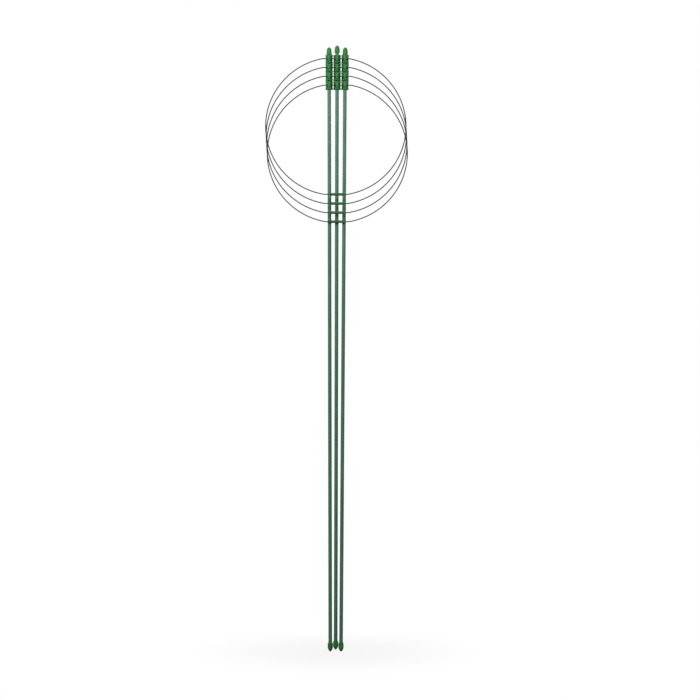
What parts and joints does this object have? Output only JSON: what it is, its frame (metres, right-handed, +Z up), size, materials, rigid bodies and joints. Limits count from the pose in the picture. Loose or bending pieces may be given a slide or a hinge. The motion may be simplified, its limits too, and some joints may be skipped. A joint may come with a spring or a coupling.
{
  "type": "grow through plant support",
  "caption": "Folded garden plant support: slim coated steel stakes side by side, with wire rings hanging flat in front, held by sliding clips near the top.",
  "frame": {"origin": "tip of the centre stake's bottom cap, where the stakes go into the soil", "axes": "+Z up along the centre stake, +X to the right across the stakes, +Y to the back, away from the rings"},
  "size_m": [0.4247, 0.0457, 1.8054],
  "materials": {
    "steel_tube": "drawn steel tube, hidden under the coat",
    "stake_coat": "dark green extruded plastic coat, satin",
    "moulded_plastic": "green moulded plastic, satin",
    "coated_wire": "dark grey-green coat on spring steel wire"
  },
  "bodies": {
    "stakes": {"left_stake_tube": "steel_tube", "centre_stake_tube": "steel_tube", "right_stake_tube": "steel_tube", "left_stake_coat": "stake_coat", "centre_stake_coat": "stake_coat", "right_stake_coat": "stake_coat", "left_top_cap": "moulded_plastic", "centre_top_cap": "moulded_plastic", "right_top_cap": "moulded_plastic", "left_bottom_cap": "moulded_plastic", "centre_bottom_cap": "moulded_plastic", "right_bottom_cap": "moulded_plastic"},
    "centre_slider_1": {"centre_clip_1": "moulded_plastic"},
    "centre_slider_2": {"centre_clip_2": "moulded_plastic"},
    "centre_slider_3": {"centre_clip_3": "moulded_plastic"},
    "centre_slider_4": {"centre_clip_4": "moulded_plastic"},
    "left_slider_1": {"left_clip_1": "moulded_plastic"},
    "left_slider_2": {"left_clip_2": "moulded_plastic"},
    "left_slider_3": {"left_clip_3": "moulded_plastic"},
    "left_slider_4": {"left_clip_4": "moulded_plastic"},
    "right_slider_1": {"right_clip_1": "moulded_plastic"},
    "right_slider_2": {"right_clip_2": "moulded_plastic"},
    "right_slider_3": {"right_clip_3": "moulded_plastic"},
    "right_slider_4": {"right_clip_4": "moulded_plastic"},
    "ring_1": {"ring_1_wire": "coated_wire", "ring_1_sleeve": "moulded_plastic"},
    "ring_2": {"ring_2_wire": "coated_wire", "ring_2_sleeve": "moulded_plastic"},
    "ring_3": {"ring_3_wire": "coated_wire", "ring_3_sleeve": "moulded_plastic"},
    "ring_4": {"ring_4_wire": "coated_wire", "ring_4_sleeve": "moulded_plastic"}
  },
  "joints": [
    {"name": "ring_1_height", "type": "slide", "parent": "stakes", "child": "centre_slider_1", "axis": [0, 0, -1], "range_m": [0, 0.05]},
    {"name": "ring_2_height", "type": "slide", "parent": "centre_slider_1", "child": "centre_slider_2", "axis": [0, 0, -1], "range_m": [0, 0.05]},
    {"name": "ring_3_height", "type": "slide", "parent": "centre_slider_2", "child": "centre_slider_3", "axis": [0, 0, -1], "range_m": [0, 0.05]},
    {"name": "ring_4_height", "type": "slide", "parent": "centre_slider_3", "child": "centre_slider_4", "axis": [0, 0, -1], "range_m": [0, 0.05]},
    {"name": "left_clip_1_height", "type": "slide", "parent": "stakes", "child": "left_slider_1", "axis": [0.0044, 0, -1], "range_m": [0, 0.05]},
    {"name": "left_clip_2_height", "type": "slide", "parent": "left_slider_1", "child": "left_slider_2", "axis": [0.0044, 0, -1], "range_m": [0, 0.05]},
    {"name": "left_clip_3_height", "type": "slide", "parent": "left_slider_2", "child": "left_slider_3", "axis": [0.0044, 0, -1], "range_m": [0, 0.05]},
    {"name": "left_clip_4_height", "type": "slide", "parent": "left_slider_3", "child": "left_slider_4", "axis": [0.0044, 0, -1], "range_m": [0, 0.05]},
    {"name": "right_clip_1_height", "type": "slide", "parent": "stakes", "child": "right_slider_1", "axis": [-0.0044, 0, -1], "range_m": [0, 0.05]},
    {"name": "right_clip_2_height", "type": "slide", "parent": "right_slider_1", "child": "right_slider_2", "axis": [-0.0044, 0, -1], "range_m": [0, 0.05]},
    {"name": "right_clip_3_height", "type": "slide", "parent": "right_slider_2", "child": "right_slider_3", "axis": [-0.0044, 0, -1], "range_m": [0, 0.05]},
    {"name": "right_clip_4_height", "type": "slide", "parent": "right_slider_3", "child": "right_slider_4", "axis": [-0.0044, 0, -1], "range_m": [0, 0.05]},
    {"name": "ring_1_swing", "type": "hinge", "parent": "centre_slider_1", "child": "ring_1", "pos_m": [0, -0.0101, 1.76], "axis": [-1, 0, 0], "range_deg": [0, 90]},
    {"name": "ring_2_swing", "type": "hinge", "parent": "centre_slider_2", "child": "ring_2", "pos_m": [0, -0.0101, 1.7337], "axis": [-1, 0, 0], "range_deg": [0, 90]},
    {"name": "ring_3_swing", "type": "hinge", "parent": "centre_slider_3", "child": "ring_3", "pos_m": [0, -0.0101, 1.7074], "axis": [-1, 0, 0], "range_deg": [0, 90]},
    {"name": "ring_4_swing", "type": "hinge", "parent": "centre_slider_4", "child": "ring_4", "pos_m": [0, -0.0101, 1.6811], "axis": [-1, 0, 0], "range_deg": [0, 90]}
  ],
  "couplings": [
    {"joint": "left_clip_1_height", "follows": "ring_1_height", "ratio": 1},
    {"joint": "left_clip_2_height", "follows": "ring_2_height", "ratio": 1},
    {"joint": "left_clip_3_height", "follows": "ring_3_height", "ratio": 1},
    {"joint": "left_clip_4_height", "follows": "ring_4_height", "ratio": 1},
    {"joint": "right_clip_1_height", "follows": "ring_1_height", "ratio": 1},
    {"joint": "right_clip_2_height", "follows": "ring_2_height", "ratio": 1},
    {"joint": "right_clip_3_height", "follows": "ring_3_height", "ratio": 1},
    {"joint": "right_clip_4_height", "follows": "ring_4_height", "ratio": 1}
  ]
}
